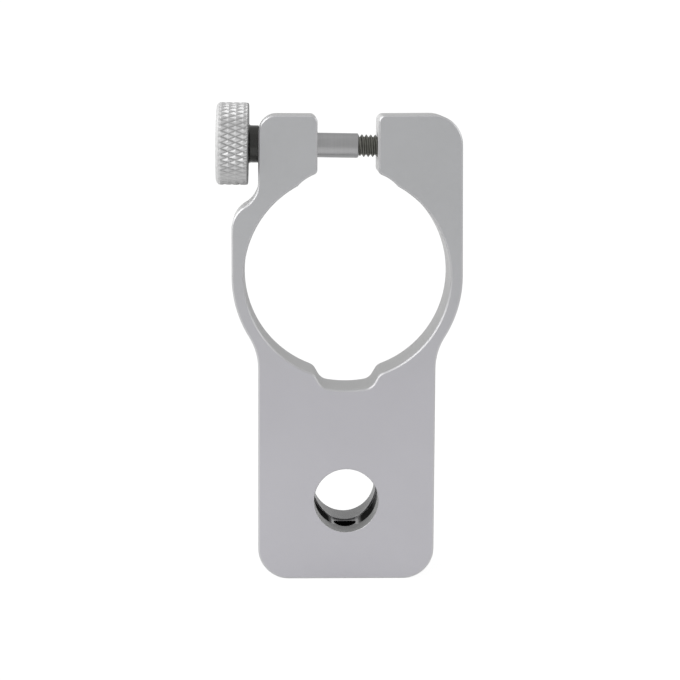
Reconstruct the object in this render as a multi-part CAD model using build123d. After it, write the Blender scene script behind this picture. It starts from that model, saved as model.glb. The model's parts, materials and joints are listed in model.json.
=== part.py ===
from build123d import *
from math import acos, cos, degrees, hypot, radians, sin, sqrt
import os

# Watch movement holder: a split ring with a tang below it, cut from one aluminium plate, closed by a
# thumbscrew across the slot at the top.  Millimetres.
# +Z is up the plate, +X runs from the thumbscrew's knob to the plate, and -Y is the front face's side.
# The origin is the centre of the movement's seat, halfway through the ring's thickness.

# The movement's seat and the plate round it
SEAT_R = 18.4
RING_R = 20.58
RING_THICK = 11.0
TOP_Z = 28.65
BOTTOM_Z = -55.0
EDGE_CHAMFER = 0.3

# The tang, which is thicker than the ring: it stands out behind it
TANG_HALF_WIDTH = 15.87
TANG_THICK = 16.8
TANG_FILLET_R = 10.65
BOTTOM_CORNER_R = 5.6
RING_RECESS_R = 24.4

# The two lugs and the slot between them
SLOT_HALF_WIDTH = 5.4
LUG_CORNER_R = 1.2
LUG_FOOT_R = 0.95
LEFT_TOP_CORNER_R = 3.2
RIGHT_TOP_CORNER_R = 5.3
RIGHT_TOP_X = 20.27
RIGHT_TOP_RISE = 0.2
LEFT_LUG_X = -TANG_HALF_WIDTH
SHOULDER_R = 4.72
SHOULDER_LOW_Z = 8.45

# The seat's mouth, widened by one cutter pass at each side
MOUTH_R = 7.4
MOUTH_X = 3.3
MOUTH_Z = 11.26

# The relief notch at the bottom of the seat: its floor follows the ring and its sides slope outwards
NOTCH_FLOOR_R = 20.43
NOTCH_SIDE_X = 5.11
NOTCH_SIDE_Z = -18.79
NOTCH_SIDE_ANGLE = 60.0
NOTCH_CORNER_R = 2.2
NOTCH_LIP_R = 2.0

# The bore that takes a post, with a shallow groove where its locking screw would raise a burr
POST_R = 5.78
POST_Z = -40.6
POST_GROOVE_R = 5.98
POST_GROOVE_WIDTH = 5.6
POST_CHAMFER = 0.1

# The tapped hole of the screw that locks the post, and the screw
LOCK_HOLE_R = 1.92
LOCK_HOLE_Y = 1.63
LOCK_SINK_R = 2.2
LOCK_SCREW_R = 1.85
LOCK_SCREW_LENGTH = 5.0
LOCK_SCREW_FOOT_Z = -53.5
LOCK_HEX_WIDTH = 1.98
LOCK_HEX_DEPTH = 2.2
LOCK_SCREW_CHAMFER = 0.3
LOCK_CUP_DEPTH = 0.5
LOCK_CUP_R = 1.0

# The thumbscrew: a socket-head screw pressed into a knurled knob.  Its axis drops a little towards
# the thread, and it crosses SCREW_Z at SCREW_CROSS_X.
SCREW_Z = 23.1
SCREW_CROSS_X = -1.5
SCREW_DROP_ANGLE = 0.75
SHANK_R = 2.2
SHANK_END_X = 2.1
THREAD_PITCH_R = 1.82
THREAD_TIP_X = 12.15
THREAD_POINT = 0.5
HEAD_R = 3.34
HEAD_HEIGHT = 4.22
HEAD_SEAT_DEPTH = 0.05
HEAD_SEAT_R = 3.7
HEAD_HEX_WIDTH = 3.57
HEAD_HEX_DEPTH = 1.9
KNOB_R = 7.36
KNOB_WIDTH = 5.75
KNOB_EDGE = 0.6
KNOB_INNER_X = -17.6
KNOB_RELIEF = 0.4
SHANK_HOLE_R = 2.28
TAPPED_HOLE_R = 2.1
TAPPED_SINK_R = 2.5

FRONT_Y = -RING_THICK / 2
RING_BACK_Y = RING_THICK / 2
TANG_BACK_Y = FRONT_Y + TANG_THICK

# Larger than any part of the plate, for cutting shapes
FAR = 60.0
# How far a cutting shape runs past the face it opens, and how near a corner must be to be picked
OVERRUN = 1.0
NEAR = 0.5


def arc(centre, radius, start, end):
    """An arc about a centre, between two directions in degrees."""
    return CenterArc(centre, radius, start, end - start)


def shoulder_points():
    """Where the left side's double bend starts, turns and ends, and its angle."""
    offset = RING_R + LEFT_LUG_X
    angle = degrees(acos(1 - offset / (2 * SHOULDER_R)))
    rise = 2 * SHOULDER_R * sin(radians(angle))
    return angle, SHOULDER_LOW_Z + rise


def tang_fillet():
    """Centre height and contact angle of the fillet between the ring's outside and the tang's side."""
    reach = RING_R + TANG_FILLET_R
    across = TANG_HALF_WIDTH + TANG_FILLET_R
    return -sqrt(reach**2 - across**2), degrees(acos(across / reach))


def plate_outline():
    """The plate's outside, seen from the front: ring, lugs and tang, with no slot, seat or hole."""
    bend, left_top_z = shoulder_points()
    fillet_z, contact = tang_fillet()
    side = TANG_HALF_WIDTH
    corner = BOTTOM_CORNER_R
    left_r = LEFT_TOP_CORNER_R
    right_top = (RIGHT_TOP_X, TOP_Z + RIGHT_TOP_RISE)
    low_bend = (-RING_R + SHOULDER_R, SHOULDER_LOW_Z)
    high_bend = (LEFT_LUG_X - SHOULDER_R, left_top_z)
    edges = [
        Line((LEFT_LUG_X + left_r, TOP_Z), (0, TOP_Z)),
        Line((0, TOP_Z), right_top),
        Line(right_top, (RING_R, 0)),
        arc((0, 0), RING_R, 0, -contact),
        arc((side + TANG_FILLET_R, fillet_z), TANG_FILLET_R, 180 - contact, 180),
        Line((side, fillet_z), (side, BOTTOM_Z + corner)),
        arc((side - corner, BOTTOM_Z + corner), corner, 0, -90),
        Line((side - corner, BOTTOM_Z), (corner - side, BOTTOM_Z)),
        arc((corner - side, BOTTOM_Z + corner), corner, 270, 180),
        Line((-side, BOTTOM_Z + corner), (-side, fillet_z)),
        arc((-side - TANG_FILLET_R, fillet_z), TANG_FILLET_R, 0, contact),
        arc((0, 0), RING_R, 180 + contact, 180),
        Line((-RING_R, 0), (-RING_R, SHOULDER_LOW_Z)),
        arc(low_bend, SHOULDER_R, 180, 180 - bend),
        arc(high_bend, SHOULDER_R, -bend, 0),
        Line((LEFT_LUG_X, left_top_z), (LEFT_LUG_X, TOP_Z - left_r)),
        arc((LEFT_LUG_X + left_r, TOP_Z - left_r), left_r, 180, 90),
    ]
    return rounded(make_face(Plane.XY * Wire(edges)), *right_top, RIGHT_TOP_CORNER_R)


def rounded(face, x, z, radius):
    """The face with its corner at this place rounded."""
    corners = [v for v in face.vertices() if hypot(v.X - x, v.Y - z) < NEAR]
    return fillet(corners, radius)


def notch_side_at(radius):
    """Where the notch's right side crosses a circle round the seat's centre."""
    across = cos(radians(NOTCH_SIDE_ANGLE))
    up = sin(radians(NOTCH_SIDE_ANGLE))
    along = NOTCH_SIDE_X * across + NOTCH_SIDE_Z * up
    gap = NOTCH_SIDE_X**2 + NOTCH_SIDE_Z**2 - radius**2
    step = -along - sqrt(along**2 - gap)
    return NOTCH_SIDE_X + step * across, NOTCH_SIDE_Z + step * up


def opening():
    """The seat with its notch, the widened mouth above it and the slot, as one flat shape."""
    slot_top = TOP_Z + RIGHT_TOP_RISE + OVERRUN
    slot = Pos(0, slot_top / 2) * Rectangle(2 * SLOT_HALF_WIDTH, slot_top)
    lip_x, lip_z = notch_side_at(SEAT_R)
    floor_x, floor_z = notch_side_at(NOTCH_FLOOR_R)
    run_out = (lip_x - floor_x) / (lip_z - floor_z)
    top_x = lip_x + OVERRUN * run_out
    bottom_x = floor_x - OVERRUN * run_out
    top_z, bottom_z = lip_z + OVERRUN, floor_z - OVERRUN
    corners = [(-top_x, top_z), (top_x, top_z), (bottom_x, bottom_z), (-bottom_x, bottom_z)]
    notch = make_face(Polyline(*corners, close=True)) & Circle(NOTCH_FLOOR_R)
    shape = Circle(SEAT_R) + slot + notch
    foot_z = MOUTH_Z + sqrt(MOUTH_R**2 - (SLOT_HALF_WIDTH - MOUTH_X) ** 2)
    for side in (-1, 1):
        shape = shape + Pos(side * MOUTH_X, MOUTH_Z) * Circle(MOUTH_R)
    for side in (-1, 1):
        shape = rounded(shape, side * floor_x, floor_z, NOTCH_CORNER_R)
        shape = rounded(shape, side * lip_x, lip_z, NOTCH_LIP_R)
        shape = rounded(shape, side * SLOT_HALF_WIDTH, foot_z, LUG_FOOT_R)
    return shape


def upright(face, front_y, depth):
    """A flat shape drawn in X and Z, made solid from front_y backwards."""
    return extrude(Plane.XZ.offset(-front_y) * face, amount=-depth)


def plate_blank():
    """The plate with its seat and slot, thick at the tang and thin at the ring, edges chamfered."""
    outline = plate_outline()
    front_shape = outline - opening()
    for side in (-1, 1):
        front_shape = rounded(front_shape, side * SLOT_HALF_WIDTH, TOP_Z, LUG_CORNER_R)
    ring = upright(front_shape, FRONT_Y, RING_THICK)
    below = Pos(0, -FAR / 2) * Rectangle(FAR, FAR)
    pad_shape = (outline & below) - Circle(RING_RECESS_R)
    pad = upright(pad_shape, 0, TANG_BACK_Y)
    plate = ring + pad
    post = upright(Pos(0, POST_Z) * Circle(POST_R), FRONT_Y - OVERRUN, TANG_THICK + 2 * OVERRUN)
    groove_front_y = LOCK_HOLE_Y - POST_GROOVE_WIDTH / 2
    groove = upright(Pos(0, POST_Z) * Circle(POST_GROOVE_R), groove_front_y, POST_GROOVE_WIDTH)
    rims = plate.edges().filter_by(on_face)
    plate = chamfer(rims, EDGE_CHAMFER) - post - groove
    mouths = plate.edges().filter_by(lambda e: on_face(e) and at_post(e))
    plate = chamfer(mouths, POST_CHAMFER)
    ring_rims = plate.edges().filter_by(lambda e: on_plane(e, RING_BACK_Y) and not at_recess(e))
    return chamfer(ring_rims, EDGE_CHAMFER)


def on_plane(edge, y):
    """Whether an edge lies in the plane at this depth."""
    box = edge.bounding_box()
    return abs(box.min.Y - y) < 0.001 and abs(box.max.Y - y) < 0.001


def on_face(edge):
    """Whether an edge lies in the tang's front or back face."""
    return on_plane(edge, FRONT_Y) or on_plane(edge, TANG_BACK_Y)


def at_post(edge):
    """Whether an edge is a rim of the post's bore."""
    return all(abs(hypot(v.X, v.Z - POST_Z) - POST_R) < 0.01 for v in edge.vertices())


def at_recess(edge):
    """Whether an edge is the inside corner between the ring's back and the tang, or ends on it."""
    return any(abs(hypot(v.X, v.Z) - RING_RECESS_R) < 0.05 and v.Z < 0 for v in edge.vertices())


def rod(radius, start_x, end_x, y=0.0, z=SCREW_Z):
    """A round bar along X."""
    return Pos((start_x + end_x) / 2, y, z) * Rot(0, 90, 0) * Cylinder(radius, end_x - start_x)


def cone_x(start_r, end_r, start_x, end_x):
    """A tapered bar along X, on the thumbscrew's axis."""
    taper = Cone(start_r, end_r, end_x - start_x)
    return Pos((start_x + end_x) / 2, 0, SCREW_Z) * Rot(0, 90, 0) * taper


def dropped(shape):
    """A shape made level, turned about the point where the thumbscrew's axis crosses SCREW_Z."""
    back = Pos(-SCREW_CROSS_X, 0, -SCREW_Z) * shape
    return Pos(SCREW_CROSS_X, 0, SCREW_Z) * Rot(0, SCREW_DROP_ANGLE, 0) * back


def holder():
    """The whole aluminium plate with its screw holes."""
    head_seat_x = LEFT_LUG_X + HEAD_SEAT_DEPTH
    sink = TAPPED_SINK_R - TAPPED_HOLE_R
    wide_r = TAPPED_SINK_R + sink
    right_side_x = RING_R + (RIGHT_TOP_X - RING_R) * SCREW_Z / TOP_Z
    cuts = [
        rod(SHANK_HOLE_R, LEFT_LUG_X - OVERRUN, -SLOT_HALF_WIDTH + OVERRUN),
        rod(HEAD_SEAT_R, LEFT_LUG_X - OVERRUN, head_seat_x),
        rod(TAPPED_HOLE_R, SLOT_HALF_WIDTH - OVERRUN, RING_R + OVERRUN),
        cone_x(wide_r, TAPPED_HOLE_R, SLOT_HALF_WIDTH - sink, SLOT_HALF_WIDTH + sink),
        cone_x(TAPPED_HOLE_R, wide_r, right_side_x - sink, right_side_x + sink),
    ]
    plate = plate_blank()
    for cut in cuts:
        plate = plate - dropped(cut)
    lock_hole = Cylinder(LOCK_HOLE_R, POST_Z - BOTTOM_Z + OVERRUN)
    plate = plate - Pos(0, LOCK_HOLE_Y, (POST_Z + BOTTOM_Z - OVERRUN) / 2) * lock_hole
    lock_sink = LOCK_SINK_R - LOCK_HOLE_R
    mouth = Cone(LOCK_SINK_R, LOCK_HOLE_R, lock_sink)
    return plate - Pos(0, LOCK_HOLE_Y, BOTTOM_Z + lock_sink / 2) * mouth


def cut_at_flexures(plate):
    """The plate parted at its two thinnest places, level with the seat's centre."""
    half = Pos(0, 0, -FAR / 2) * Box(2 * FAR, FAR, FAR)
    lower = plate & half
    upper = plate - half
    left = upper & (Pos(-FAR / 2, 0, 0) * Box(FAR, FAR, 2 * FAR))
    right = upper & (Pos(FAR / 2, 0, 0) * Box(FAR, FAR, 2 * FAR))
    return lower, left, right


def hex_bar(width, length):
    """A six-sided bar along Z, given its width across flats."""
    return extrude(RegularPolygon(width / 2, 6, major_radius=False), amount=length / 2, both=True)


def clamp_screw():
    """The socket-head screw: head against the left lug, ground shank, thread in the right lug."""
    head_foot_x = LEFT_LUG_X + HEAD_SEAT_DEPTH
    head_top_x = head_foot_x - HEAD_HEIGHT
    head = rod(HEAD_R, head_top_x, head_foot_x)
    shank_bevel = SHANK_R - THREAD_PITCH_R
    shank = rod(SHANK_R, head_foot_x, SHANK_END_X - shank_bevel)
    step = cone_x(SHANK_R, THREAD_PITCH_R, SHANK_END_X - shank_bevel, SHANK_END_X)
    thread_end_x = THREAD_TIP_X - THREAD_POINT
    thread = rod(THREAD_PITCH_R, SHANK_END_X, thread_end_x)
    point = cone_x(THREAD_PITCH_R, THREAD_PITCH_R - THREAD_POINT, thread_end_x, THREAD_TIP_X)
    socket = Rot(0, 90, 0) * hex_bar(HEAD_HEX_WIDTH, HEAD_HEX_DEPTH)
    socket = Pos(head_top_x + HEAD_HEX_DEPTH / 2, 0, SCREW_Z) * socket
    return dropped((head + shank + step + thread + point) - socket)


def thumb_knob():
    """The knob, with the blind bore that the screw's head is pressed into."""
    outer_x = KNOB_INNER_X - KNOB_WIDTH
    body = rod(KNOB_R, outer_x, KNOB_INNER_X)
    body = chamfer(body.edges().filter_by(GeomType.CIRCLE), KNOB_EDGE)
    head_top_x = LEFT_LUG_X + HEAD_SEAT_DEPTH - HEAD_HEIGHT
    bore = rod(HEAD_R, head_top_x, KNOB_INNER_X + OVERRUN)
    relief = cone_x(HEAD_R, HEAD_R + KNOB_RELIEF, KNOB_INNER_X - KNOB_RELIEF, KNOB_INNER_X)
    return dropped(body - bore - relief)


def lock_screw():
    """The headless screw in the tang's foot that locks the holder on its post."""
    body = Cylinder(LOCK_SCREW_R, LOCK_SCREW_LENGTH)
    body = chamfer(body.edges().filter_by(GeomType.CIRCLE), LOCK_SCREW_CHAMFER)
    socket_z = (LOCK_HEX_DEPTH - LOCK_SCREW_LENGTH) / 2
    socket = Pos(0, 0, socket_z) * hex_bar(LOCK_HEX_WIDTH, LOCK_HEX_DEPTH)
    cup = Cone(LOCK_CUP_R - LOCK_CUP_DEPTH, LOCK_CUP_R, LOCK_CUP_DEPTH)
    cup = Pos(0, 0, (LOCK_SCREW_LENGTH - LOCK_CUP_DEPTH) / 2) * cup
    middle_z = LOCK_SCREW_FOOT_Z + LOCK_SCREW_LENGTH / 2
    return Pos(0, LOCK_HOLE_Y, middle_z) * (body - socket - cup)


def main():
    """Writes one STEP file for each piece."""
    os.makedirs("parts", exist_ok=True)
    lower, left, right = cut_at_flexures(holder())
    pieces = {
        "tang_and_lower_ring": lower,
        "left_clamp_arm": left,
        "right_clamp_arm": right,
        "clamp_screw": clamp_screw(),
        "thumb_knob": thumb_knob(),
        "post_lock_screw": lock_screw(),
    }
    for name, piece in pieces.items():
        export_step(piece, f"parts/{name}.step")


main()
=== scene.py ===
"""Looks of the watch movement holder: a bead-blasted plate, a knurled knob and its screws."""

import json
import math

import bmesh
import bpy
from mathutils import Matrix, Vector


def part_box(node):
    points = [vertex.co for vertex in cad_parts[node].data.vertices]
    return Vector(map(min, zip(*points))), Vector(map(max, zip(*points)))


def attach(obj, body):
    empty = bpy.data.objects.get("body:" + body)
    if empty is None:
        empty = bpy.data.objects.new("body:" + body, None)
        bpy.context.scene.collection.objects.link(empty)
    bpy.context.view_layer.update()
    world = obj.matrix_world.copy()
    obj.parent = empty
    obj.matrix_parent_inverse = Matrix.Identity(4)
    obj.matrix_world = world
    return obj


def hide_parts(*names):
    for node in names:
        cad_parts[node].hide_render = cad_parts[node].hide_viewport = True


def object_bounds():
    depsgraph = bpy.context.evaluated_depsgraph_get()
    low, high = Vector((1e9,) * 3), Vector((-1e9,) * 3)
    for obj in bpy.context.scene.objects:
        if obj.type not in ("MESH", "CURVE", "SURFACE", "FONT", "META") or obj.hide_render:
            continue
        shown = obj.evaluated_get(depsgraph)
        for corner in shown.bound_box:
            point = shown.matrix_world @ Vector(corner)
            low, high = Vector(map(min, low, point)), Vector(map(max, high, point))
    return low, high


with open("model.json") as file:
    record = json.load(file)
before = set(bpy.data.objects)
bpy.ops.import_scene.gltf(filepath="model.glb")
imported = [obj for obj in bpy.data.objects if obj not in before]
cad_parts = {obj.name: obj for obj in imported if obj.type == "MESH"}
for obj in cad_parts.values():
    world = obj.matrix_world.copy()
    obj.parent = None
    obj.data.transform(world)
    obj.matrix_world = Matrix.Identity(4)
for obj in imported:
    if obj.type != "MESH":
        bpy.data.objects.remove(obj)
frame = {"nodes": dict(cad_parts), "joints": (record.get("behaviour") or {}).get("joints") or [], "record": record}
CAD_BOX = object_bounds()

MM = 0.001
TAU = 2 * math.pi


def named(rows, name):
    """The row that has a name."""
    return next(row for row in rows if row["name"] == name)


POST = named(frame["record"]["mounts"], "post_bore")
POST_X, POST_Z = POST["pos_m"][0], POST["pos_m"][2]
POST_R = POST["dims"]["r_mm"] * MM
TURN = named(frame["joints"], "thumbscrew_turn")
SCREW_AT = Vector(TURN["pos_m"])
SCREW_AXIS = Vector(TURN["axis"]).normalized()
LOCK_LOW, LOCK_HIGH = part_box("post_lock_screw")
LOCK_AT = (LOCK_LOW + LOCK_HIGH) / 2

# Places along the thumbscrew's axis, as the X they have where the screw is level
KNOB_OUTER_X = -23.35 * MM
KNOB_INNER_X = -17.6 * MM
KNOB_WIDTH = KNOB_INNER_X - KNOB_OUTER_X
KNOB_R = 7.36 * MM
HEAD_TOP_X = -20.04 * MM
HEAD_FOOT_X = -15.82 * MM
HEAD_R = 3.34 * MM
SHANK_END_X = 2.1 * MM
SHANK_R = 2.2 * MM
THREAD_TIP_X = 12.15 * MM


# ---------------------------------------------------------------- meshes

LATHE_STEPS = 96
SAME_POINT = 1e-7
NO_LENGTH = 1e-8


def finish_mesh(bm, name, place, sharp_deg=35.0):
    """Turns a bmesh into an object, smooth but for its edges sharper than sharp_deg."""
    bmesh.ops.remove_doubles(bm, verts=bm.verts, dist=SAME_POINT)
    bmesh.ops.dissolve_degenerate(bm, edges=bm.edges, dist=NO_LENGTH)
    bmesh.ops.recalc_face_normals(bm, faces=bm.faces)
    mesh = bpy.data.meshes.new(name)
    bm.to_mesh(mesh)
    bm.free()
    mesh.transform(place)
    mesh.shade_smooth()
    mesh.set_sharp_from_angle(angle=math.radians(sharp_deg))
    obj = bpy.data.objects.new(name, mesh)
    bpy.context.scene.collection.objects.link(obj)
    return obj


def on_screw(x):
    """Places a piece made round +Z on the thumbscrew's axis, with its foot at x along it."""
    turn = Matrix.Rotation(math.atan2(SCREW_AXIS.x, SCREW_AXIS.z), 4, "Y")
    return Matrix.Translation(SCREW_AT) @ turn @ Matrix.Translation((0, 0, x - SCREW_AT.x))


def ring_point(bm, along, radius, angle):
    """A vertex at a height along +Z, a radius and an angle."""
    return bm.verts.new((radius * math.cos(angle), radius * math.sin(angle), along))


def join_rings(bm, low, high):
    """Four-sided faces between two rings that have as many points."""
    for i in range(len(low)):
        j = (i + 1) % len(low)
        bm.faces.new((low[i], low[j], high[j], high[i]))


def cap(bm, edge, angles, rings, tip):
    """Closes an end: rings of (height, radius by angle) inward from its edge, then a middle point."""
    for along, radius_at in rings:
        ring = [ring_point(bm, along, radius_at(a), a) for a in angles]
        join_rings(bm, edge, ring)
        edge = ring
    middle = bm.verts.new((0, 0, tip))
    for i in range(len(edge)):
        bm.faces.new((edge[i], edge[(i + 1) % len(edge)], middle))


def even(radius):
    """The same radius at every angle."""
    return lambda angle: radius


def lathe(bm, profile):
    """Turns a profile of (height, radius) points round +Z; a radius of 0 closes an end."""
    rings = []
    for along, radius in profile:
        if radius == 0:
            rings.append([bm.verts.new((0, 0, along))])
        else:
            angles = [TAU * i / LATHE_STEPS for i in range(LATHE_STEPS)]
            rings.append([ring_point(bm, along, radius, a) for a in angles])
    for low, high in zip(rings, rings[1:]):
        for i in range(LATHE_STEPS):
            j = (i + 1) % LATHE_STEPS
            corners = [low[i % len(low)], low[j % len(low)], high[j % len(high)], high[i % len(high)]]
            bm.faces.new(list(dict.fromkeys(corners)))


def smooth(t):
    """A step from 0 to 1 with soft ends."""
    t = max(0.0, min(1.0, t))
    return t * t * (3 - 2 * t)


# ---------------------------------------------------------------- knob

# The diamond knurl: two sets of helical grooves that cross
KNURL_STARTS = 42
KNURL_PITCH = 2.62 * MM
KNURL_DEPTH = 0.28 * MM
# Share of a pointed tooth's height at which the teeth are flattened
KNURL_TIP = 0.74
# Width at the outer rim over which the grooves run out
KNURL_RUN_OUT = 1.0 * MM
# How far the pattern is moved along the knob and turned round it
KNURL_SHIFT = -0.40 * MM
KNURL_TURN = TAU / 2 / KNURL_STARTS
# Points from a groove to the middle of a tooth
KNURL_STEPS = 8

# The knob's rounded rims
OUTER_ROUND = 0.85 * MM
OUTER_ROUND_ROWS = 9
INNER_ROUND = 0.4 * MM
INNER_ROUND_ROWS = 6

# The knob's end face inward from its rim, as (depth, radius): a shallow dish with a centre mark
END_FACE_MM = ((0.0, 6.2), (0.02, 6.1), (0.12, 6.0), (0.14, 5.9), (0.14, 0.75), (0.30, 0.4))
MARK_DEPTH = 0.55 * MM

# The knob's bore round the screw's head
RECESS_DEPTH = 4.0 * MM
RECESS_R = HEAD_R + 0.005 * MM
RECESS_CHAMFER = 0.32 * MM


def knurl_height(angle, along):
    """Height of the diamond knurl, from 0 in its grooves to 1 on its flattened tips."""
    turns = (angle - KNURL_TURN) * KNURL_STARTS / TAU
    phases = [turns + along / KNURL_PITCH, turns - along / KNURL_PITCH]
    return min(1.0, min(2 * abs(p - math.floor(p + 0.5)) for p in phases) / KNURL_TIP)


def knob_envelope(along):
    """Radius of the plain knob before the knurl: rounded rims, the outer one larger."""
    for edge, round_r in ((along, OUTER_ROUND), (KNOB_WIDTH - along, INNER_ROUND)):
        if edge < round_r:
            return KNOB_R - round_r + math.sqrt(max(0.0, round_r**2 - (round_r - edge) ** 2))
    return KNOB_R


def rim_rows(round_r, count):
    """Distances from a rim's edge to its rings of points, evenly spaced round the rim's arc."""
    return [round_r * (1 - math.cos(math.radians(90) * i / count)) for i in range(count)]


def knob_rows():
    """Where the knob's rings of points lie: fine over its rims, on the knurl's own grid between."""
    step = KNURL_PITCH / (2 * KNURL_STEPS)
    first = math.ceil((OUTER_ROUND - KNURL_SHIFT) / step)
    last = math.floor((KNOB_WIDTH - INNER_ROUND - KNURL_SHIFT) / step)
    middle = [KNURL_SHIFT + i * step for i in range(first, last + 1)]
    inner = [KNOB_WIDTH - row for row in reversed(rim_rows(INNER_ROUND, INNER_ROUND_ROWS))]
    return rim_rows(OUTER_ROUND, OUTER_ROUND_ROWS) + middle + inner


def from_axis(v):
    """A vertex's distance from its piece's axis."""
    return math.hypot(v.co.x, v.co.y)


def join_knurl(bm, low, high):
    """Triangles between two rings, split along the lower diagonal so that the grooves stay sharp."""
    for i in range(len(low)):
        j = (i + 1) % len(low)
        a, b, c, d = low[i], low[j], high[j], high[i]
        if from_axis(a) + from_axis(c) < from_axis(b) + from_axis(d):
            triangles = ((a, b, c), (a, c, d))
        else:
            triangles = ((a, b, d), (b, c, d))
        for corners in triangles:
            bm.faces.new(corners)


def knob():
    """The knurled knob: cut teeth that run out at its rounded rims, and a turned end face."""
    bm = bmesh.new()
    columns = KNURL_STARTS * 2 * KNURL_STEPS
    plain_angles = [TAU * i / columns for i in range(columns)]
    angles = [a + KNURL_TURN for a in plain_angles]
    rings = []
    for along in knob_rows():
        plain = knob_envelope(along)
        inner_run_out = smooth((KNOB_WIDTH - along) / INNER_ROUND)
        depth = KNURL_DEPTH * smooth(along / KNURL_RUN_OUT) * inner_run_out
        cuts = [depth * (1 - knurl_height(a, along - KNURL_SHIFT)) for a in angles]
        radii = [min(plain, KNOB_R - cut) for cut in cuts]
        rings.append([ring_point(bm, along, radius, a) for a, radius in zip(angles, radii)])
    for low, high in zip(rings, rings[1:]):
        join_knurl(bm, low, high)
    end_face = [(depth * MM, even(radius * MM)) for depth, radius in END_FACE_MM]
    cap(bm, rings[0], plain_angles, end_face, MARK_DEPTH)
    floor_at = KNOB_WIDTH - RECESS_DEPTH
    recess = (
        (KNOB_WIDTH, even(RECESS_R + RECESS_CHAMFER)),
        (KNOB_WIDTH - RECESS_CHAMFER, even(RECESS_R)),
        (floor_at, even(RECESS_R)),
    )
    cap(bm, rings[-1], plain_angles, recess, floor_at)
    return finish_mesh(bm, "knurled_knob", on_screw(KNOB_OUTER_X), sharp_deg=12.0)


# ---------------------------------------------------------------- screws

# The head's outline at the knob's face, as (distance out of the knob, radius past the head's), in mm
HEAD_FLARE_MM = ((-0.3, -0.02), (0, 0.26), (0.08, 0.2), (0.2, 0.05), (0.4, -0.01))
HEAD_INSET = 0.02 * MM
HEAD_EDGE = 0.1 * MM

# The shank's chamfer before the thread, as (distance from its end, depth), in mm
SHANK_CHAMFER_MM = ((0.3, 0), (0.22, 0.03), (0, 0.35))

# One turn of thread, as (share of the pitch, share of the depth): a flat crest, two flanks, a flat root
THREAD_FORM = ((-0.06, 1.0), (0.06, 1.0), (0.245, 0.5), (0.43, 0.0), (0.57, 0.0), (0.755, 0.5))
THREAD_STEPS = 72
THREAD_START_X = SHANK_END_X - 0.02 * MM
CLAMP_THREAD = {
    "pitch": 0.794 * MM,
    "crest_at": 3.03 * MM - THREAD_START_X,
    "root_r": 1.6 * MM,
    "crest_r": 2.035 * MM,
    "fades": (0.35 * MM, 0.8 * MM),
    "taper": 0.16 * MM,
}
LOCK_THREAD = {
    "pitch": 0.7 * MM,
    "crest_at": 0.2 * MM,
    "root_r": 1.5 * MM,
    "crest_r": 1.84 * MM,
    "fades": (0.3 * MM, 0.3 * MM),
    "taper": 0.0,
}

LOCK_HEX = 1.98 * MM
LOCK_HEX_DEPTH = 2.2 * MM
LOCK_HEX_CHAMFER = 0.04 * MM
LOCK_HEX_CHAMFER_DEPTH = 0.06 * MM
LOCK_HEX_CONE = 0.25 * MM
LOCK_CUP_R = 1.0 * MM
LOCK_CUP_DEPTH = 0.5 * MM


def screw_head():
    """The socket head, flared where it sits in the knob."""
    bm = bmesh.new()
    height, flare = HEAD_FOOT_X - HEAD_TOP_X, KNOB_INNER_X - HEAD_TOP_X
    points = [(0, 0), (0, HEAD_R - HEAD_INSET)]
    points += [(flare + along * MM, HEAD_R + rise * MM) for along, rise in HEAD_FLARE_MM]
    rim_r = points[-1][1]
    points += [(height - HEAD_EDGE, rim_r), (height, rim_r - HEAD_EDGE), (height, 0)]
    lathe(bm, points)
    return finish_mesh(bm, "screw_head", on_screw(HEAD_TOP_X))


def screw_shank():
    """The ground shank between the lugs, with a small chamfer before the thread."""
    bm = bmesh.new()
    length = SHANK_END_X - HEAD_FOOT_X
    points = [(0, 0), (0, SHANK_R)]
    points += [(length - back * MM, SHANK_R - depth * MM) for back, depth in SHANK_CHAMFER_MM]
    points.append((length, 0))
    lathe(bm, points)
    return finish_mesh(bm, "screw_shank", on_screw(HEAD_FOOT_X), sharp_deg=30.0)


def thread_rows(length, pitch, crest_at):
    """Height and share of the depth of each point of the thread, from below the bar to above it."""
    first = math.floor(-crest_at / pitch) - 1
    turns = math.ceil(length / pitch) + 2
    rows = []
    for turn in range(first, first + turns):
        rows += [(crest_at + (turn + share) * pitch, depth) for share, depth in THREAD_FORM]
    return rows


def join_helix(bm, columns):
    """Faces between columns of points, where the last column meets the first one turn further up."""
    for i, column in enumerate(columns):
        following = columns[(i + 1) % len(columns)]
        up = len(THREAD_FORM) if i + 1 == len(columns) else 0
        for k in range(len(column) - 1 - up):
            bm.faces.new((column[k], following[k + up], following[k + up + 1], column[k + 1]))


def threaded(bm, length, pitch, crest_at, root_r, crest_r, fades, taper):
    """A threaded bar along +Z, whose mesh lines follow the right-handed helix; returns its open ends."""
    rows = thread_rows(length, pitch, crest_at)
    columns = []
    for i in range(THREAD_STEPS):
        column = []
        for height, depth in rows:
            at = min(length, max(0, height + pitch * i / THREAD_STEPS))
            rise = min(smooth(at / fades[0]), smooth((length - at) / fades[1]))
            slim = taper * at / length
            radius = root_r - slim / 2 + (crest_r - root_r - slim / 2) * depth * rise
            column.append(ring_point(bm, at, radius, TAU * i / THREAD_STEPS))
        columns.append(column)
    join_helix(bm, columns)
    per_turn = len(THREAD_FORM)
    bottom = [c[0] for c in columns] + columns[0][1 : per_turn + 1][::-1]
    top = [c[-1] for c in columns] + columns[-1][-per_turn - 1 : -1][::-1]
    return bottom, top


def close_bar(bm, edge, rings, tip):
    """Closes a bar's end with rings at the angles of its edge's own points."""
    cap(bm, edge, [math.atan2(v.co.y, v.co.x) for v in edge], rings, tip)


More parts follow.
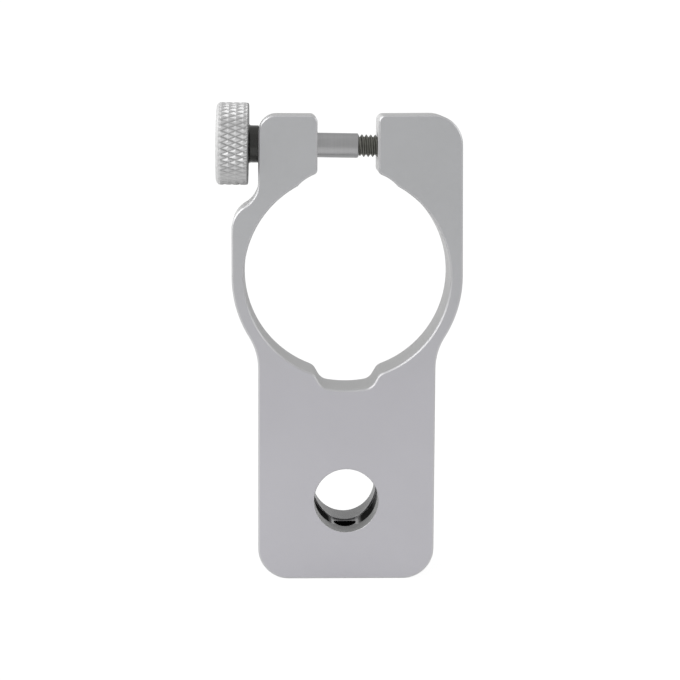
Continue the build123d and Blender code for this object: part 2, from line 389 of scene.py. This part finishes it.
def screw_thread():
    """The thread that draws the right lug in."""
    bm = bmesh.new()
    length = THREAD_TIP_X - THREAD_START_X
    bottom, top = threaded(bm, length, **CLAMP_THREAD)
    close_bar(bm, bottom, (), 0)
    close_bar(bm, top, (), length)
    return finish_mesh(bm, "screw_thread", on_screw(THREAD_START_X), sharp_deg=40.0)


def hexagon(angle):
    """Radius of the lock screw's socket at an angle."""
    sixth = TAU / 6
    return LOCK_HEX / 2 / math.cos(angle % sixth - sixth / 2)


def lock_screw():
    """The headless screw in the tang's foot, with a hexagon socket below and a cup point above."""
    bm = bmesh.new()
    height = LOCK_HIGH.z - LOCK_LOW.z
    bottom, top = threaded(bm, height, **LOCK_THREAD)
    socket = (
        (0, lambda angle: hexagon(angle) + LOCK_HEX_CHAMFER),
        (LOCK_HEX_CHAMFER_DEPTH, hexagon),
        (LOCK_HEX_DEPTH, hexagon),
    )
    close_bar(bm, bottom, socket, LOCK_HEX_DEPTH + LOCK_HEX_CONE)
    close_bar(bm, top, ((height, even(LOCK_CUP_R)),), height - LOCK_CUP_DEPTH)
    place = Matrix.Translation((LOCK_AT.x, LOCK_AT.y, LOCK_LOW.z))
    return finish_mesh(bm, "lock_screw_thread", place, sharp_deg=40.0)


# ---------------------------------------------------------------- materials

# The range that most of a noise's values fall in, and a wider one
NOISE_SPAN = (0.3, 0.7)
NOISE_WIDE = (0.2, 0.8)
ROUND_EDGE_SAMPLES = 6


class Finish:
    """A node material under construction, in the piece's own coordinates."""

    def __init__(self, name, colour, metallic, roughness):
        self.material = bpy.data.materials.new(name)
        self.material.use_nodes = True
        self.nodes = self.material.node_tree.nodes
        self.links = self.material.node_tree.links
        self.shader = self.nodes["Principled BSDF"]
        self.shader.inputs["Base Color"].default_value = (*colour, 1)
        self.shader.inputs["Metallic"].default_value = metallic
        self.shader.inputs["Roughness"].default_value = roughness
        self.coords = self.nodes.new("ShaderNodeTexCoord")
        self.normal = None

    def node(self, kind, inputs=(), **settings):
        """A node with its settings and inputs; an input is a value or another node's output."""
        made = self.nodes.new(kind)
        for key, value in settings.items():
            setattr(made, key, value)
        for key, value in dict(inputs).items():
            if isinstance(value, bpy.types.NodeSocket):
                self.links.new(value, made.inputs[key])
            else:
                made.inputs[key].default_value = value
        return made

    def math(self, operation, *values):
        """The result of a math node."""
        return self.node("ShaderNodeMath", dict(enumerate(values)), operation=operation).outputs[0]

    def plus(self, a, b):
        """a + b."""
        return self.math("ADD", a, b)

    def minus(self, a, b):
        """a - b."""
        return self.math("SUBTRACT", a, b)

    def times(self, first, *others):
        """The product of two or more values."""
        for other in others:
            first = self.math("MULTIPLY", first, other)
        return first

    def most(self, a, b):
        """The larger of two values."""
        return self.math("MAXIMUM", a, b)

    def size(self, value):
        """A value without its sign."""
        return self.math("ABSOLUTE", value)

    def mapped(self, value, low, high, to_low, to_high):
        """A value moved from one range to another, held at its ends."""
        inputs = {0: value, 1: low, 2: high, 3: to_low, 4: to_high}
        return self.node("ShaderNodeMapRange", inputs).outputs[0]

    def rise(self, value, low, high):
        """0 below a range, 1 above it."""
        return self.mapped(value, low, high, 0, 1)

    def fall(self, value, low, high):
        """1 below a range, 0 above it."""
        return self.mapped(value, low, high, 1, 0)

    def band(self, value, low, high, soft):
        """1 between two values, with a soft edge outside each."""
        return self.times(self.rise(value, low - soft, low), self.fall(value, high, high + soft))

    def split(self, vector):
        """X, Y and Z of a vector."""
        return tuple(self.node("ShaderNodeSeparateXYZ", {0: vector}).outputs)

    def axes(self):
        """X, Y and Z of the place being shaded."""
        return self.split(self.coords.outputs["Object"])

    def true_normal(self):
        """X, Y and Z of the mesh's own flat normal."""
        return self.split(self.node("ShaderNodeNewGeometry").outputs["True Normal"])

    def reach(self, *pairs):
        """Distance of a place from an axis: pairs of a coordinate and the axis's own."""
        squares = [self.math("POWER", self.minus(a, b), 2.0) for a, b in pairs]
        return self.math("SQRT", self.plus(*squares))

    def noise(self, scale, detail=3.0):
        """Noise in the piece's coordinates; scale is one number, or three for streaks."""
        at = self.coords.outputs["Object"]
        if not isinstance(scale, (int, float)):
            at = self.node("ShaderNodeMapping", {"Vector": at, "Scale": scale}).outputs[0]
            scale = 1.0
        inputs = {"Vector": at, "Scale": scale, "Detail": detail}
        return self.node("ShaderNodeTexNoise", inputs).outputs["Fac"]

    def mix(self, share, a, b):
        """Two colours mixed by a share: each is an output, three numbers, or one for a grey."""
        made = self.node("ShaderNodeMix", {0: share}, data_type="RGBA")
        for index, value in ((6, a), (7, b)):
            if isinstance(value, bpy.types.NodeSocket):
                self.links.new(value, made.inputs[index])
            elif isinstance(value, tuple):
                made.inputs[index].default_value = (*value, 1)
            else:
                made.inputs[index].default_value = (value, value, value, 1)
        return made.outputs[2]

    def set(self, name, value):
        """Links an output to one of the shader's inputs."""
        self.links.new(value, self.shader.inputs[name])

    def round_edges(self, share, radius):
        """Shades the edges as if rounded, where share is 1."""
        rounded = self.node("ShaderNodeBevel", {"Radius": radius}, samples=ROUND_EDGE_SAMPLES).outputs[0]
        flat = self.node("ShaderNodeNewGeometry").outputs["Normal"]
        made = self.node("ShaderNodeMix", {0: share, 4: flat, 5: rounded}, data_type="VECTOR")
        self.normal = made.outputs[1]
        self.set("Normal", self.normal)

    def bump(self, height, distance):
        """Adds a bump of a real height in metres to what is there."""
        inputs = {"Height": height, "Distance": distance}
        if self.normal:
            inputs["Normal"] = self.normal
        self.normal = self.node("ShaderNodeBump", inputs).outputs[0]
        self.set("Normal", self.normal)


# ---------------------------------------------------------------- the plate's finish

# How squarely a surface faces front or back: 1 on a face, 0 on a wall, about 0.7 on a chamfer
CHAMFER_FACING = (0.4, 0.9, 0.1)
WALL_FACING = (0.3, 0.5)
# How squarely a wall faces left or right
UPRIGHT_FACING = (0.3, 0.7)

# Distances from the post's axis: where the bore's own surfaces end, and where its groove begins
BORE_EDGE = (POST_R + 0.25 * MM, POST_R + 0.3 * MM)
GROOVE_START = (POST_R + 0.03 * MM, POST_R + 0.07 * MM)
# Where the groove ends on each side of its middle
GROOVE_HALF_WIDTH = (2.85 * MM, 2.9 * MM)
# Where the lock screw's hole ends, out from its axis and upward
LOCK_HOLE_EDGE = (2.0 * MM, 2.1 * MM)
LOCK_HOLE_TOP = (POST_Z, POST_Z + 0.1 * MM)

# The dark ring in the bore, painted shade and dark reflection: its front edge, its back edge, which lies further
# back at the sides, how it fades upward, and the strip in the middle that it leaves free
BORE_SHADE_FRONT = (-1.3 * MM, -0.7 * MM)
BORE_SHADE_BACK = (2.9 * MM, 5.2 * MM, 4.5 * MM, 6.4 * MM)
BORE_SHADE_BACK_FADE = (-0.6 * MM, 0.9 * MM)
BORE_SHADE_UPWARD = (-3.2 * MM, 3.0 * MM, 0.96, 0.1)
BORE_SHADE_ASIDE = (1.9 * MM, 3.1 * MM)
BORE_SHADE_MATT = (0.0, 0.5)
BORE_SHADE_COLOUR = 0.004

# Heights between which the faces and the upright walls change colour, by painted light: faces lighter low, walls
# lighter high
FACE_CHANGE = (-20.0 * MM, 5.0 * MM)
WALL_CHANGE = (-4.0 * MM, 18.0 * MM)
# Depths between which painted shade darkens the bore's front land toward the groove, and where the back land
# starts
FRONT_LAND_CHANGE = (-5.2 * MM, -1.2 * MM)
BACK_LAND_START = (0.0, 0.2 * MM)

# Linear colours; a pair is the darker and the lighter tone of a mottled surface
UPPER_FACE = ((0.515, 0.52, 0.53), (0.55, 0.555, 0.567))
# The lower faces are lighter and a little bluer: painted light from below
LOWER_FACE_LIT = ((0.541, 0.534, 0.565), (0.577, 0.57, 0.602))
LOW_WALL = (0.52, 0.60)
# The upright walls high up are lighter: painted light
HIGH_WALL_LIT = (0.81, 0.87)
CHAMFER_COLOUR = (0.62, 0.62, 0.63)
FRONT_LAND = (0.21, 0.21, 0.212)
FRONT_LAND_SHADED_AT_GROOVE = 0.08
BACK_LAND = (0.18, 0.18, 0.182)

PLATE_METALLIC = 0.85
WALL_METALLIC_LOSS = 0.3
PLATE_SPECULAR = 0.5
PLATE_ROUGHNESS = (0.44, 0.54)
CHAMFER_SMOOTHER = 0.08
WALL_ROUGHER = 0.1
BORE_SMOOTHER = 0.32
BORE_BLAST_LOSS = 0.8
EDGE_ROUNDING = 0.22 * MM
BLAST_HEIGHT = 0.006 * MM
STREAK_HEIGHT = 0.004 * MM

# Noise scales, in features to the metre
MOTTLE_SCALE = 90.0
FINE_SCALE = 900.0
BLAST_SCALE = 5200.0
STREAK_SCALE = (5200.0, 90.0, 5200.0)
MOTTLE_TONE = (-0.2, 0.2)
FINE_TONE = (0.35, 0.65)


def bore_share(f, place, wall):
    """1 on the post bore's wall and in its relief groove."""
    x, y, z = place
    from_post = f.reach((x, POST_X), (z, POST_Z))
    near = f.fall(from_post, *BORE_EDGE)
    off_middle = f.size(f.minus(y, LOCK_AT.y))
    groove = f.times(f.rise(from_post, *GROOVE_START), near, f.fall(off_middle, *GROOVE_HALF_WIDTH))
    return f.most(f.times(wall, near), groove)


def bore_shade_share(f, place, bore):
    """How dark a place is: painted shade and reflection in the bore's groove, and painted shade in the lock
    screw's hole.
    """
    x, y, z = place
    aside = f.size(x)
    past_back = f.minus(y, f.mapped(aside, *BORE_SHADE_BACK))
    ring = f.times(f.rise(y, *BORE_SHADE_FRONT), f.fall(past_back, *BORE_SHADE_BACK_FADE))
    upward = f.mapped(f.minus(z, POST_Z), *BORE_SHADE_UPWARD)
    painted_shade = f.times(bore, ring, f.times(upward, f.rise(aside, *BORE_SHADE_ASIDE)))
    # Painted shade in the lock screw's hole below the bore
    in_hole = f.fall(f.reach((x, LOCK_AT.x), (y, LOCK_AT.y)), *LOCK_HOLE_EDGE)
    return f.most(painted_shade, f.times(in_hole, f.fall(z, *LOCK_HOLE_TOP)))


def plate_colour(f, place, normal, tone, wall, chamfer):
    """Colour of the plate's faces, walls and chamfers outside its bore, with painted light on low faces and high
    walls.
    """
    z = place[2]
    face = f.mix(f.fall(z, *FACE_CHANGE), f.mix(tone, *UPPER_FACE), f.mix(tone, *LOWER_FACE_LIT))
    painted_wall_light = f.times(f.rise(f.size(normal[0]), *UPRIGHT_FACING), f.rise(z, *WALL_CHANGE))
    walls = f.mix(painted_wall_light, f.mix(tone, *LOW_WALL), f.mix(tone, *HIGH_WALL_LIT))
    return f.mix(chamfer, f.mix(wall, face, walls), CHAMFER_COLOUR)


def land_colour(f, y):
    """Colour of the bore's wall before and behind its groove, with painted shade on the front land near the
    groove.
    """
    front = f.mix(f.rise(y, *FRONT_LAND_CHANGE), FRONT_LAND, FRONT_LAND_SHADED_AT_GROOVE)
    return f.mix(f.rise(y, *BACK_LAND_START), front, BACK_LAND)


def plate_finish():
    """Bead-blasted, clear anodised aluminium, with machined walls, chamfers and a reamed bore."""
    f = Finish("bead_blasted_aluminium", (0.6, 0.6, 0.6), metallic=PLATE_METALLIC, roughness=0.5)
    place, normal = f.axes(), f.true_normal()
    facing = f.size(normal[1])
    chamfer = f.band(facing, *CHAMFER_FACING)
    wall = f.fall(facing, *WALL_FACING)
    bore = bore_share(f, place, wall)
    painted_shade = bore_shade_share(f, place, bore)
    fine = f.noise(FINE_SCALE)
    mottle = f.mapped(f.noise(MOTTLE_SCALE, detail=4.0), *NOISE_SPAN, *MOTTLE_TONE)
    tone = f.plus(mottle, f.mapped(fine, *NOISE_SPAN, *FINE_TONE))
    colour = f.mix(bore, plate_colour(f, place, normal, tone, wall, chamfer), land_colour(f, place[1]))
    # The painted shade turns the metal matt before it darkens it, so that it stays dark at a glancing angle
    matt = f.rise(painted_shade, *BORE_SHADE_MATT)
    f.set("Base Color", f.mix(matt, colour, f.mix(painted_shade, 1.0, BORE_SHADE_COLOUR)))
    shiny = f.minus(1.0, matt)
    metallic = f.minus(PLATE_METALLIC, f.times(f.minus(wall, bore), WALL_METALLIC_LOSS))
    f.set("Metallic", f.times(metallic, shiny))
    f.set("Specular IOR Level", f.times(shiny, PLATE_SPECULAR))
    rough = f.mapped(fine, *NOISE_WIDE, *PLATE_ROUGHNESS)
    rough = f.minus(rough, f.times(chamfer, CHAMFER_SMOOTHER))
    rough = f.plus(rough, f.times(wall, WALL_ROUGHER))
    f.set("Roughness", f.minus(rough, f.times(bore, BORE_SMOOTHER)))
    f.round_edges(chamfer, EDGE_ROUNDING)
    blasted = f.minus(1.0, f.times(bore, BORE_BLAST_LOSS))
    f.bump(f.times(f.noise(BLAST_SCALE, detail=2.0), blasted), BLAST_HEIGHT)
    f.bump(f.times(f.noise(STREAK_SCALE, detail=2.0), wall), STREAK_HEIGHT)
    return f.material


# ---------------------------------------------------------------- the knob's and the screws' finishes

# Distances along the axis from the knob's inner face, where its two rims' tones begin and end:
# painted shade on the inner rim, a painted highlight on the outer one
INNER_RIM = (-0.34 * MM, -0.22 * MM)
OUTER_RIM = (0.6 * MM - KNOB_WIDTH, 0.95 * MM - KNOB_WIDTH)
# Heights from the axis between which painted shade darkens the knob's underside
UNDERSIDE = (-7.0 * MM, -3.8 * MM)
# How squarely a surface faces along the axis, on the turned end face
END_FACING = (0.9, 0.97)
# The radius of the knurl's grooves, where painted shade darkens them, as a band and its soft edge
GROOVE_R = (KNOB_R - 1.6 * KNURL_DEPTH, KNOB_R - KNURL_DEPTH, 0.6 * KNURL_DEPTH)
# Distance between the turning lines on the end face
TURNED_PITCH = 0.11 * MM
TURNED_HEIGHT = 0.003 * MM

KNOB_COLOUR = (0.70, 0.70, 0.702)
# Painted tones: shade in the grooves, underneath and at the inner rim, a highlight on the outer rim
KNOB_GROOVE_SHADE = 0.50
KNOB_UNDERSIDE_SHADE = 0.42
KNOB_OUTER_RIM_SHEEN = 0.78
KNOB_INNER_RIM_SHADE = 0.3
KNOB_ROUGHNESS = (0.32, 0.44)
OUTER_RIM_ROUGHER = 0.42

OXIDE_TONES = ((0.05, 0.05, 0.048), (0.062, 0.062, 0.06))
OXIDE_ROUGHNESS = (0.15, 0.22)
THREAD_TONES = ((0.17, 0.17, 0.155), (0.24, 0.24, 0.215))
GROUND_TONES = ((0.38, 0.38, 0.385), (0.47, 0.47, 0.475))
GROUND_ROUGHNESS = (0.30, 0.42)


def knob_finish():
    """Bright turned aluminium: painted shade in the knurl's grooves, underneath and at the inner rim, a painted
    highlight on the outer rim.
    """
    f = Finish("bright_aluminium", (0.72, 0.72, 0.725), metallic=1.0, roughness=0.32)
    x, y, z = f.axes()
    fall = SCREW_AXIS.z / SCREW_AXIS.x
    axis_z = f.plus(f.times(f.minus(x, SCREW_AT.x), fall), SCREW_AT.z)
    radius = f.reach((y, 0.0), (z, axis_z))
    along_x = f.times(f.minus(x, KNOB_INNER_X), SCREW_AXIS.x)
    along = f.plus(along_x, f.times(f.minus(z, SCREW_AT.z), SCREW_AXIS.z))
    end = f.rise(f.size(f.true_normal()[0]), *END_FACING)
    outer_rim = f.times(f.fall(along, *OUTER_RIM), f.minus(1.0, end))
    colour = f.mix(f.band(radius, *GROOVE_R), KNOB_COLOUR, KNOB_GROOVE_SHADE)
    colour = f.mix(f.fall(f.minus(z, axis_z), *UNDERSIDE), colour, KNOB_UNDERSIDE_SHADE)
    colour = f.mix(outer_rim, colour, KNOB_OUTER_RIM_SHEEN)
    f.set("Base Color", f.mix(f.rise(along, *INNER_RIM), colour, KNOB_INNER_RIM_SHADE))
    rough = f.mapped(f.noise(1500.0), *NOISE_SPAN, *KNOB_ROUGHNESS)
    f.set("Roughness", f.plus(rough, f.times(outer_rim, OUTER_RIM_ROUGHER)))
    turned = f.math("SINE", f.times(radius, TAU / TURNED_PITCH))
    f.bump(f.times(turned, end), TURNED_HEIGHT)
    f.bump(f.noise(6000.0), distance=0.002 * MM)
    return f.material


def oxide_finish():
    """Satin black oxide, with a faint warm cast and fine turning lines."""
    f = Finish("black_oxide_steel", (0.045, 0.045, 0.042), metallic=0.8, roughness=0.42)
    f.set("Base Color", f.mix(f.noise(700.0), *OXIDE_TONES))
    f.set("Roughness", f.mapped(f.noise(900.0), *NOISE_SPAN, *OXIDE_ROUGHNESS))
    f.bump(f.noise((9000.0, 200.0, 200.0), detail=2.0), distance=0.0006 * MM)
    return f.material


def thread_finish():
    """Dark oiled thread, olive in the light."""
    f = Finish("oiled_thread_steel", (0.12, 0.12, 0.105), metallic=0.9, roughness=0.38)
    f.set("Base Color", f.mix(f.noise(1500.0), *THREAD_TONES))
    f.bump(f.noise((300.0, 9000.0, 9000.0), detail=2.0), distance=0.002 * MM)
    return f.material


def ground_finish():
    """Bare ground steel with fine lines round it."""
    f = Finish("ground_steel", (0.42, 0.42, 0.43), metallic=1.0, roughness=0.36)
    lines = f.noise((16000.0, 60.0, 60.0), detail=2.0)
    f.set("Base Color", f.mix(lines, *GROUND_TONES))
    f.set("Roughness", f.mapped(f.noise(700.0), *NOISE_SPAN, *GROUND_ROUGHNESS))
    f.bump(lines, distance=0.002 * MM)
    return f.material


# ---------------------------------------------------------------- the object

plate = plate_finish()
for node in ("tang_and_lower_ring", "left_clamp_arm", "right_clamp_arm"):
    frame["nodes"][node].data.materials.clear()
    frame["nodes"][node].data.materials.append(plate)

oxide = oxide_finish()
for piece, finish, body, node, slot in (
    (knob(), knob_finish(), "thumbscrew", "thumb_knob", "knob_aluminium"),
    (screw_head(), oxide, "thumbscrew", "clamp_screw", "black_oxide_steel"),
    (screw_shank(), ground_finish(), "thumbscrew", None, "ground_steel"),
    (screw_thread(), thread_finish(), "thumbscrew", None, "black_oxide_steel"),
    (lock_screw(), oxide, "lock_screw", "post_lock_screw", "black_oxide_steel"),
):
    piece.data.materials.append(finish)
    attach(piece, body)
    if node:
        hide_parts(node)


# ---------------------------------------------------------------- the studio

FLOOR_Z = CAD_BOX[0].z
FLOOR_R = 0.6
FLOOR_SEGMENTS = 96
# How clear the floor is near the part, how clear it looks to the camera, and where it starts to fade
FLOOR_CLEAR = 0.45
FLOOR_SEEN_CLEAR = 0.8
FLOOR_FADE = (0.12, 0.3)
# How brightly the floor glows, and where, from front to back, its light on the metal ends
FLOOR_GLOW = 0.32
FLOOR_GLOW_END = (-0.02, 0.03)

# Brightness of the room as the camera sees it, and as it lights the part
ROOM_SEEN = 1.04
ROOM_GLOW = 0.62

# Each softbox faces the seat's centre: its place, width, height and brightness
SEAT_CENTRE = Vector((0, 0, 0))
SOFTBOXES = {
    "overhead": ((0, 0, 0.9), 0.8, 0.8, 0.1),
    "key": ((-0.50, -0.06, 0.38), 0.4, 0.62, 1.9),
    "left": ((-0.8, 0.3, 0.0), 0.6, 0.6, 0.5),
    "right": ((0.85, -0.02, 0.42), 0.5, 0.5, 1.15),
    "front_left": ((-0.42, -0.86, 0.62), 0.5, 0.9, 1.3),
}

CAMERA_AT = Vector((-12.46, -348.6, 40.74)) * MM
CAMERA_AIM = Vector((-1.14, 0.0, -2.28)) * MM
CAMERA_ROLL_DEG = 0.286
CAMERA_SHIFT_Y = -0.0794
LENS_MM = 103.0
SENSOR_MM = 36.0
CLIP_NEAR = 0.01
CLIP_FAR = 20.0


def floor():
    """A pale disc under the part that fades out into the white room."""
    bm = bmesh.new()
    bmesh.ops.create_circle(bm, cap_ends=True, segments=FLOOR_SEGMENTS, radius=FLOOR_R)
    disc = finish_mesh(bm, "floor", Matrix.Translation((0, 0, FLOOR_Z)))
    f = Finish("pale_floor", (0.92, 0.92, 0.92), metallic=0.0, roughness=0.9)
    f.shader.inputs["Specular IOR Level"].default_value = 0.0
    f.shader.inputs["Emission Color"].default_value = (1, 1, 1, 1)
    x, y, _ = f.axes()
    seen = f.node("ShaderNodeLightPath").outputs["Is Camera Ray"]
    glow = f.most(seen, f.fall(y, *FLOOR_GLOW_END))
    f.set("Emission Strength", f.times(glow, FLOOR_GLOW))
    share = f.mapped(f.reach((x, 0.0), (y, 0.0)), *FLOOR_FADE, FLOOR_CLEAR, 1)
    share = f.most(share, f.times(seen, FLOOR_SEEN_CLEAR))
    clear = f.node("ShaderNodeBsdfTransparent").outputs[0]
    both = f.node("ShaderNodeMixShader", {0: share, 1: f.shader.outputs[0], 2: clear})
    f.links.new(both.outputs[0], f.nodes["Material Output"].inputs[0])
    disc.data.materials.append(f.material)


def softbox(name, place, width, height, radiance):
    """An area light of a given brightness, facing the seat's centre."""
    light = bpy.data.lights.new(name, "AREA")
    light.shape = "RECTANGLE"
    light.size, light.size_y = width, height
    light.energy = radiance * math.pi * width * height
    obj = bpy.data.objects.new(name, light)
    obj.location = place
    obj.rotation_euler = (SEAT_CENTRE - Vector(place)).to_track_quat("-Z", "Y").to_euler()
    obj.visible_camera = False
    bpy.context.scene.collection.objects.link(obj)


def room():
    """A pale room: white where the camera looks past the part, softer in what the metal reflects."""
    world = bpy.data.worlds.new("room")
    bpy.context.scene.world = world
    world.use_nodes = True
    nodes, links = world.node_tree.nodes, world.node_tree.links
    seen = nodes["Background"]
    around = nodes.new("ShaderNodeBackground")
    for background, strength in ((seen, ROOM_SEEN), (around, ROOM_GLOW)):
        background.inputs["Color"].default_value = (1, 1, 1, 1)
        background.inputs["Strength"].default_value = strength
    path = nodes.new("ShaderNodeLightPath")
    both = nodes.new("ShaderNodeMixShader")
    links.new(path.outputs["Is Camera Ray"], both.inputs[0])
    links.new(around.outputs[0], both.inputs[1])
    links.new(seen.outputs[0], both.inputs[2])
    links.new(both.outputs[0], nodes["World Output"].inputs[0])


def camera():
    """A long lens from a little to the left of the part and above it, looking slightly down."""
    data = bpy.data.cameras.new("camera")
    data.sensor_width = SENSOR_MM
    data.lens = LENS_MM
    data.shift_y = CAMERA_SHIFT_Y
    data.clip_start, data.clip_end = CLIP_NEAR, CLIP_FAR
    obj = bpy.data.objects.new("camera", data)
    forward = (CAMERA_AIM - CAMERA_AT).normalized()
    turn = forward.to_track_quat("-Z", "Y").to_matrix().to_4x4()
    roll = Matrix.Rotation(math.radians(CAMERA_ROLL_DEG), 4, "Z")
    obj.matrix_world = Matrix.Translation(CAMERA_AT) @ turn @ roll
    bpy.context.scene.collection.objects.link(obj)
    bpy.context.scene.camera = obj


floor()
for name, settings in SOFTBOXES.items():
    softbox(name, *settings)
room()
camera()
bpy.context.scene.view_settings.view_transform = "Standard"
